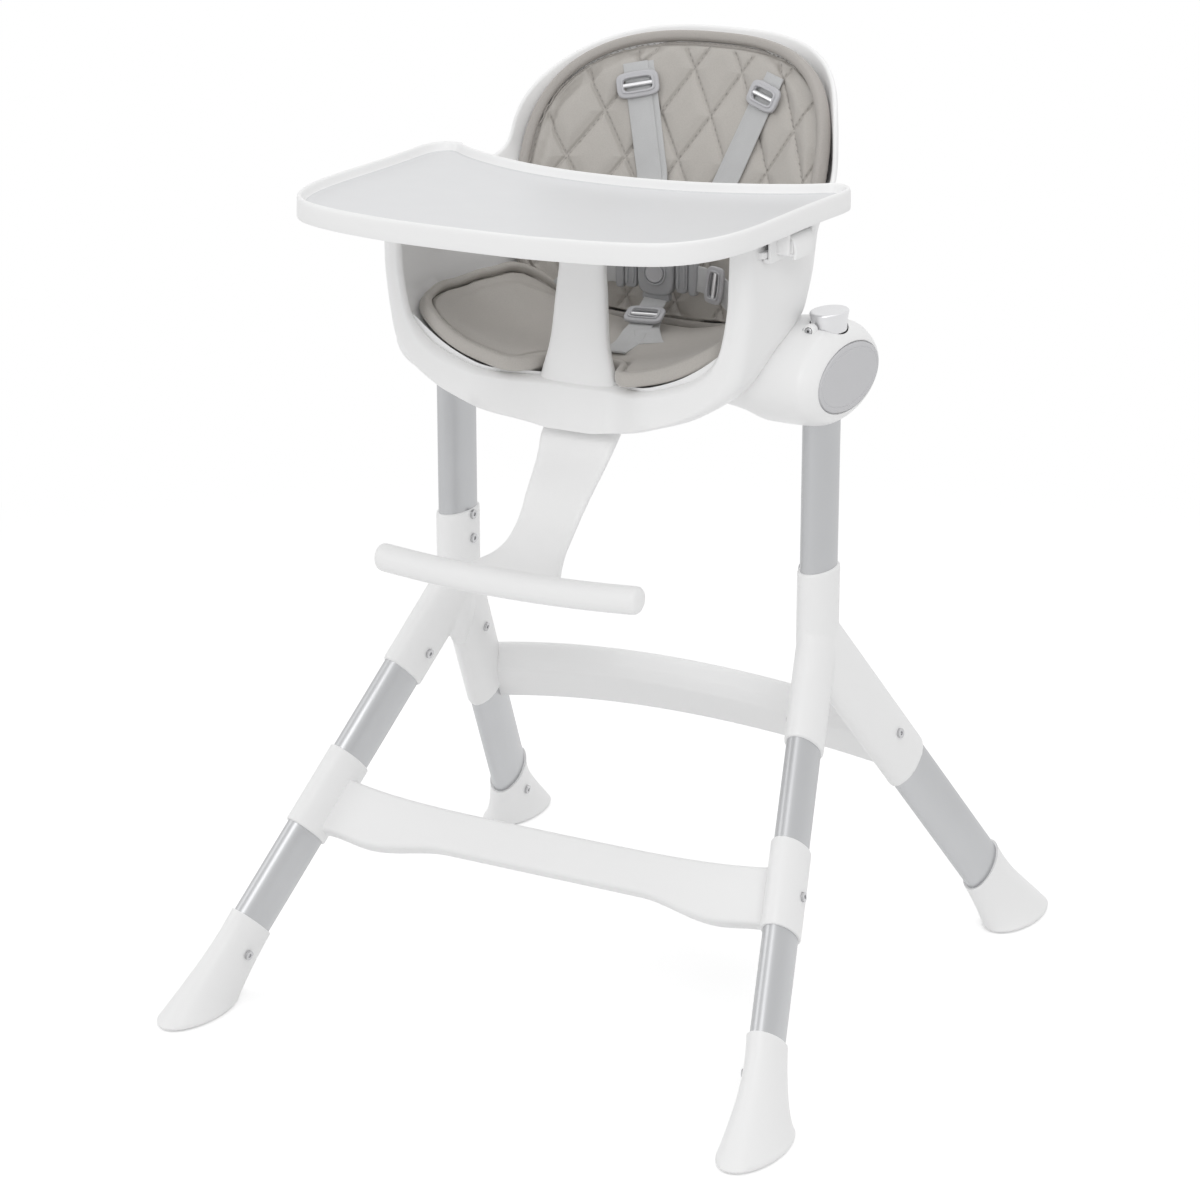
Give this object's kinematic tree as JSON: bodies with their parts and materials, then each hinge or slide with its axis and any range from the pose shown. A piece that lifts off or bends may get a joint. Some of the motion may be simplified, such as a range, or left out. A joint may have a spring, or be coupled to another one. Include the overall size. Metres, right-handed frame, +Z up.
{
  "type": "baby high chair",
  "caption": "Baby high chair: bucket seat with sliding tray, harness and footrest, lifting off two oval uprights on four splayed legs.",
  "frame": {"origin": "centre of the footprint's bounding box, on the floor", "axes": "+Z up, the child faces -Y, +X to the left-hand side of the seated child; X = 0 is the plane of symmetry"},
  "size_m": [0.696, 0.752, 0.95],
  "materials": {
    "white_plastic": "satin",
    "grey_plastic": "satin",
    "tube": "satin anodised",
    "steel": "brushed",
    "lever": "metallic grey",
    "rubber": "matt",
    "cushion": "soft quilted",
    "webbing": "fine weave"
  },
  "bodies": {
    "frame": {"upright_left": "tube", "upright_right": "tube", "y_joint_left": "white_plastic", "y_joint_right": "white_plastic", "front_leg_left": "tube", "front_leg_right": "tube", "rear_leg_left": "tube", "rear_leg_right": "tube", "foot_front_left": "white_plastic", "foot_front_right": "white_plastic", "foot_rear_left": "white_plastic", "foot_rear_right": "white_plastic", "foot_pads": "rubber", "crossbar_collar_left": "white_plastic", "crossbar_collar_right": "white_plastic", "front_crossbar": "white_plastic", "rear_crossbar": "white_plastic", "frame_screws": "steel"},
    "seat": {"seat_shell": "white_plastic", "hub_left": "white_plastic", "hub_right": "white_plastic", "hub_cap_left": "grey_plastic", "hub_cap_right": "grey_plastic", "lever_pins": "steel", "lock_spring_left": "steel", "lock_spring_right": "steel", "crotch_post": "white_plastic", "footrest": "white_plastic", "seat_pad": "cushion", "back_pad": "cushion", "shoulder_strap_left": "webbing", "shoulder_strap_right": "webbing", "waist_strap_left": "webbing", "waist_strap_right": "webbing", "crotch_strap": "webbing", "buckle_body": "grey_plastic", "buckle_spring": "steel", "buckle_tongue_left": "grey_plastic", "buckle_tongue_right": "grey_plastic", "shoulder_adjusters": "grey_plastic", "waist_adjusters": "grey_plastic", "crotch_adjuster": "grey_plastic", "adjuster_bars": "steel"},
    "lever_left": {"release_lever_left": "lever"},
    "lever_right": {"release_lever_right": "lever"},
    "lock_pin_left": {"lock_pin_left": "steel"},
    "lock_pin_right": {"lock_pin_right": "steel"},
    "latch_left": {"tray_latch_left": "white_plastic"},
    "latch_right": {"tray_latch_right": "white_plastic"},
    "button": {"buckle_button": "grey_plastic"},
    "tray": {"tray_base": "white_plastic", "latch_pins": "steel"},
    "tray_insert": {"tray_top": "white_plastic"}
  },
  "joints": [
    {"name": "seat_lift", "type": "slide", "parent": "frame", "child": "seat", "axis": [0, 0, 1], "range_m": [0, 0.06]},
    {"name": "tray_slide", "type": "slide", "parent": "seat", "child": "tray", "axis": [0, -1, 0], "range_m": [0, 0.06]},
    {"name": "tray_insert_lift", "type": "slide", "parent": "tray", "child": "tray_insert", "axis": [0, 0, 1], "range_m": [0, 0.03]},
    {"name": "release_lever_left", "type": "hinge", "parent": "seat", "child": "lever_left", "pos_m": [-0.207, 0.024, 0.709], "axis": [0, -1, 0], "range_deg": [0, 8], "stiffness_Nm_per_rad": 0.5, "springref_deg": -8.59},
    {"name": "lock_pin_slide_left", "type": "slide", "parent": "seat", "child": "lock_pin_left", "axis": [1, 0, 0], "range_m": [0, 0.007], "deforming": ["lock_spring_left"]},
    {"name": "tray_latch_left", "type": "hinge", "parent": "tray", "child": "latch_left", "pos_m": [-0.219, 0.024, 0.815], "axis": [0, 1, 0], "range_deg": [0, 15], "stiffness_Nm_per_rad": 0.3, "springref_deg": -8.59},
    {"name": "release_lever_right", "type": "hinge", "parent": "seat", "child": "lever_right", "pos_m": [0.207, 0.024, 0.709], "axis": [0, 1, 0], "range_deg": [0, 8], "stiffness_Nm_per_rad": 0.5, "springref_deg": -8.59},
    {"name": "lock_pin_slide_right", "type": "slide", "parent": "seat", "child": "lock_pin_right", "axis": [-1, 0, 0], "range_m": [0, 0.007], "deforming": ["lock_spring_right"]},
    {"name": "tray_latch_right", "type": "hinge", "parent": "tray", "child": "latch_right", "pos_m": [0.219, 0.024, 0.815], "axis": [0, -1, 0], "range_deg": [0, 15], "stiffness_Nm_per_rad": 0.3, "springref_deg": -8.59},
    {"name": "buckle_button_press", "type": "slide", "parent": "seat", "child": "button", "axis": [0, 1, 0], "range_m": [0, 0.0025], "stiffness_N_per_m": 800, "springref_m": -0.002, "deforming": ["buckle_spring"]}
  ],
  "couplings": [
    {"joint": "lock_pin_slide_left", "follows": "release_lever_left", "m_per_rad": 0.05},
    {"joint": "lock_pin_slide_right", "follows": "release_lever_right", "m_per_rad": 0.05}
  ]
}
